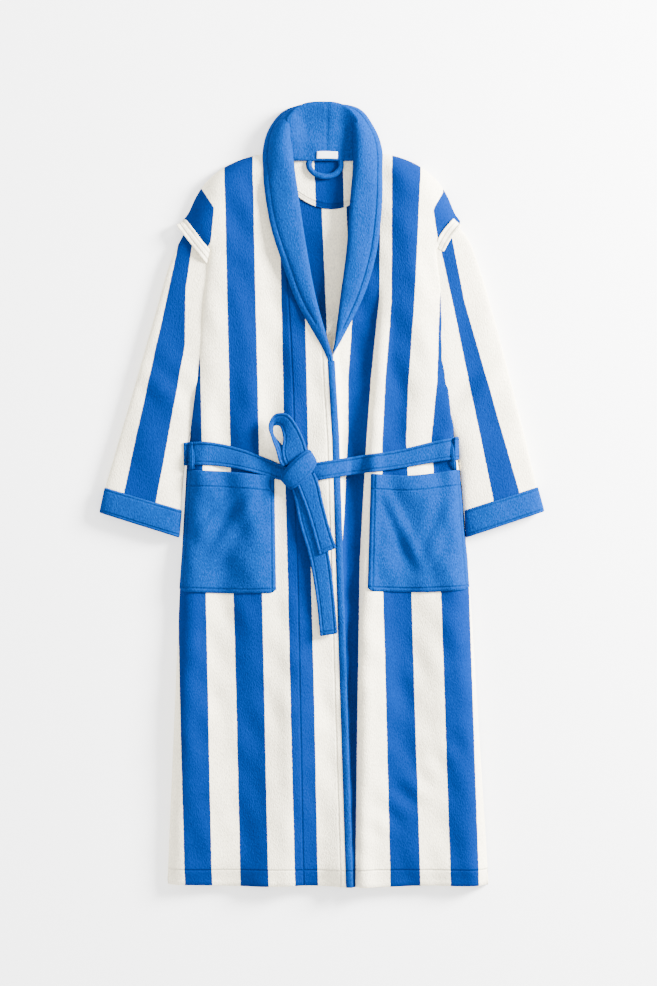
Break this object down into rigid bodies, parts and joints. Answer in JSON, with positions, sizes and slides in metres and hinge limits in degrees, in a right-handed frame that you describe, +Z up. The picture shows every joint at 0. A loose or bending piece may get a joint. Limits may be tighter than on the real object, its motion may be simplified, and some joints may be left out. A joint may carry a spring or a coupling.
{
  "type": "bathrobe",
  "caption": "Striped terry bathrobe with a shawl collar, cuffs, patch pockets and a tied belt, lying flat on its back with its sleeves at its sides.",
  "frame": {"origin": "middle of the bounding box's base: the middle of the robe's plan, on the surface it lies on", "axes": "+Y along the robe from the hem to the collar, +X towards the wearer's left, +Z up from the back panel to the fronts"},
  "size_m": [0.72, 1.274, 0.0502],
  "materials": {
    "striped_terry": "looped terry pile with woven blue and cream stripes",
    "blue_terry": "looped terry pile, plain blue",
    "cream_terry": "looped terry pile, plain cream",
    "label_tape": "smooth woven tape, blank"
  },
  "bodies": {
    "robe": {"back_panel": "striped_terry", "right_front": "striped_terry", "left_front": "striped_terry", "right_front_edge": "blue_terry", "left_front_edge": "blue_terry", "right_collar": "blue_terry", "left_collar": "blue_terry", "collar_stand": "blue_terry", "collar_fall": "blue_terry", "neck_facing": "cream_terry", "right_armhole_band": "cream_terry", "left_armhole_band": "cream_terry", "right_pocket": "blue_terry", "left_pocket": "blue_terry", "belt_back_run": "blue_terry", "belt_right_run": "blue_terry", "belt_left_run": "blue_terry", "belt_knot": "blue_terry", "right_belt_loop": "blue_terry", "left_belt_loop": "blue_terry"},
    "right_arm": {"right_sleeve": "striped_terry", "right_cuff": "blue_terry"},
    "left_arm": {"left_sleeve": "striped_terry", "left_cuff": "blue_terry"},
    "over_skirt": {"right_front_skirt": "striped_terry", "right_skirt_edge": "blue_terry"},
    "under_skirt": {"left_front_skirt": "striped_terry", "left_skirt_edge": "blue_terry"},
    "hanger": {"hanger_loop": "blue_terry"},
    "label": {"neck_label": "label_tape"},
    "bow": {"belt_bow_loop": "blue_terry"},
    "short_tail": {"belt_short_tail": "blue_terry"},
    "long_tail": {"belt_long_tail": "blue_terry"}
  },
  "joints": [
    {"name": "right_sleeve_swing", "type": "hinge", "parent": "robe", "child": "right_arm", "pos_m": [-0.2, 0.419, 0.012], "axis": [0, 0, -1], "range_deg": [0, 50]},
    {"name": "left_sleeve_swing", "type": "hinge", "parent": "robe", "child": "left_arm", "pos_m": [0.2, 0.419, 0.012], "axis": [0, 0, 1], "range_deg": [0, 50]},
    {"name": "over_skirt_opening", "type": "hinge", "parent": "robe", "child": "over_skirt", "pos_m": [-0.2311, -0.245, 0.0048], "axis": [-0.0481, -0.9988, 0], "range_deg": [0, 100]},
    {"name": "under_skirt_opening", "type": "hinge", "parent": "robe", "child": "under_skirt", "pos_m": [0.2428, -0.245, 0.0048], "axis": [-0.0692, 0.9976, 0], "range_deg": [0, 60]},
    {"name": "hanger_loop_lift", "type": "hinge", "parent": "robe", "child": "hanger", "pos_m": [0.0055, 0.538, 0.0162], "axis": [-1, 0, 0], "range_deg": [0, 90]},
    {"name": "label_lift", "type": "hinge", "parent": "robe", "child": "label", "pos_m": [0.0085, 0.543, 0.0145], "axis": [1, 0, 0], "range_deg": [0, 100]},
    {"name": "bow_loop_swing", "type": "hinge", "parent": "robe", "child": "bow", "pos_m": [-0.05, 0.06, 0.0341], "axis": [0, 0, 1], "range_deg": [-10, 10]},
    {"name": "short_tail_swing", "type": "hinge", "parent": "robe", "child": "short_tail", "pos_m": [-0.026, 0.033, 0.0362], "axis": [0, 0, 1], "range_deg": [-15, 15]},
    {"name": "long_tail_swing", "type": "hinge", "parent": "robe", "child": "long_tail", "pos_m": [-0.026, 0.033, 0.0324], "axis": [0, 0, 1], "range_deg": [-12, 12]}
  ],
  "couplings": [
    {"joint": "under_skirt_opening", "follows": "over_skirt_opening", "ratio": 0.6}
  ]
}
